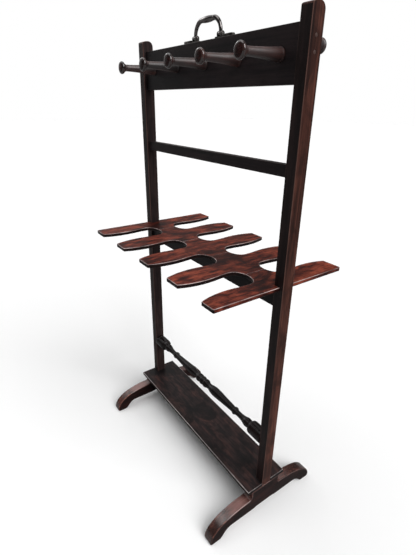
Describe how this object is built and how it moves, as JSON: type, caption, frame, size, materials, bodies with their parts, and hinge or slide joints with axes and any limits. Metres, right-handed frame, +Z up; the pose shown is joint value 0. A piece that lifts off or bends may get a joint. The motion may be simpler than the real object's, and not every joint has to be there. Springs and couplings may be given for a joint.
{
  "type": "boot rack",
  "caption": "Tall dark wood boot rack: two posts on arched feet, low shelf, turned stretcher, slotted boot platform, two upper rails, turned pegs on both faces and a hinged handle.",
  "frame": {"origin": "on the floor, under the middle of the rack", "axes": "+Z up; X along the rack from post to post; the boot arms reach forward along -Y and back along +Y; the front face is -Y"},
  "size_m": [0.705, 0.434, 1.4064],
  "materials": {
    "post_mahogany": "old polish, satin",
    "rail_mahogany": "dark stain under old polish, satin",
    "arm_mahogany": "old polish, worn paler on the edges",
    "shelf_mahogany": "dark, mottled and dulled by use",
    "foot_mahogany": "old polish, scuffed on the toes",
    "turned_mahogany": "old polish, semi-gloss",
    "peg_mahogany": "old polish, glossy from use",
    "dowel_wood": "end grain and plain dowel stock",
    "handle_metal": "polished, darkened with age",
    "screw_steel": "dull steel"
  },
  "bodies": {
    "rack": {"left_post": "post_mahogany", "left_foot": "foot_mahogany", "left_rail_dowel_1": "dowel_wood", "left_rail_dowel_2": "dowel_wood", "handle_plate_left": "handle_metal", "right_post": "post_mahogany", "right_foot": "foot_mahogany", "right_rail_dowel_1": "dowel_wood", "right_rail_dowel_2": "dowel_wood", "handle_plate_right": "handle_metal", "peg_rail": "rail_mahogany", "middle_rail": "rail_mahogany", "boot_bearer_rail": "rail_mahogany", "boot_arm_1": "arm_mahogany", "boot_arm_2": "arm_mahogany", "boot_arm_3": "arm_mahogany", "boot_arm_4": "arm_mahogany", "boot_arm_5": "arm_mahogany", "arm_dowel_1": "dowel_wood", "arm_dowel_2": "dowel_wood", "arm_dowel_3": "dowel_wood", "arm_dowel_4": "dowel_wood", "arm_dowel_5": "dowel_wood", "arm_dowel_6": "dowel_wood", "arm_dowel_7": "dowel_wood", "arm_dowel_8": "dowel_wood", "arm_screw_1": "screw_steel", "arm_screw_2": "screw_steel", "arm_screw_3": "screw_steel", "arm_screw_4": "screw_steel", "arm_screw_5": "screw_steel", "bottom_shelf": "shelf_mahogany", "shelf_dowel_1": "dowel_wood", "shelf_dowel_2": "dowel_wood", "shelf_dowel_3": "dowel_wood", "shelf_dowel_4": "dowel_wood", "turned_stretcher": "turned_mahogany", "front_peg_1": "peg_mahogany", "front_peg_2": "peg_mahogany", "front_peg_3": "peg_mahogany", "front_peg_4": "peg_mahogany", "front_peg_5": "peg_mahogany", "back_peg_1": "peg_mahogany", "back_peg_2": "peg_mahogany", "back_peg_3": "peg_mahogany", "back_peg_4": "peg_mahogany", "back_peg_5": "peg_mahogany", "handle_screw_1": "handle_metal", "handle_screw_2": "handle_metal", "handle_screw_3": "handle_metal", "handle_screw_4": "handle_metal"},
    "handle": {"handle_bail": "handle_metal"}
  },
  "joints": [
    {"name": "handle_swing", "type": "hinge", "parent": "rack", "child": "handle", "pos_m": [0, 0, 1.3628], "axis": [1, 0, 0], "range_deg": [-90, 90]}
  ]
}
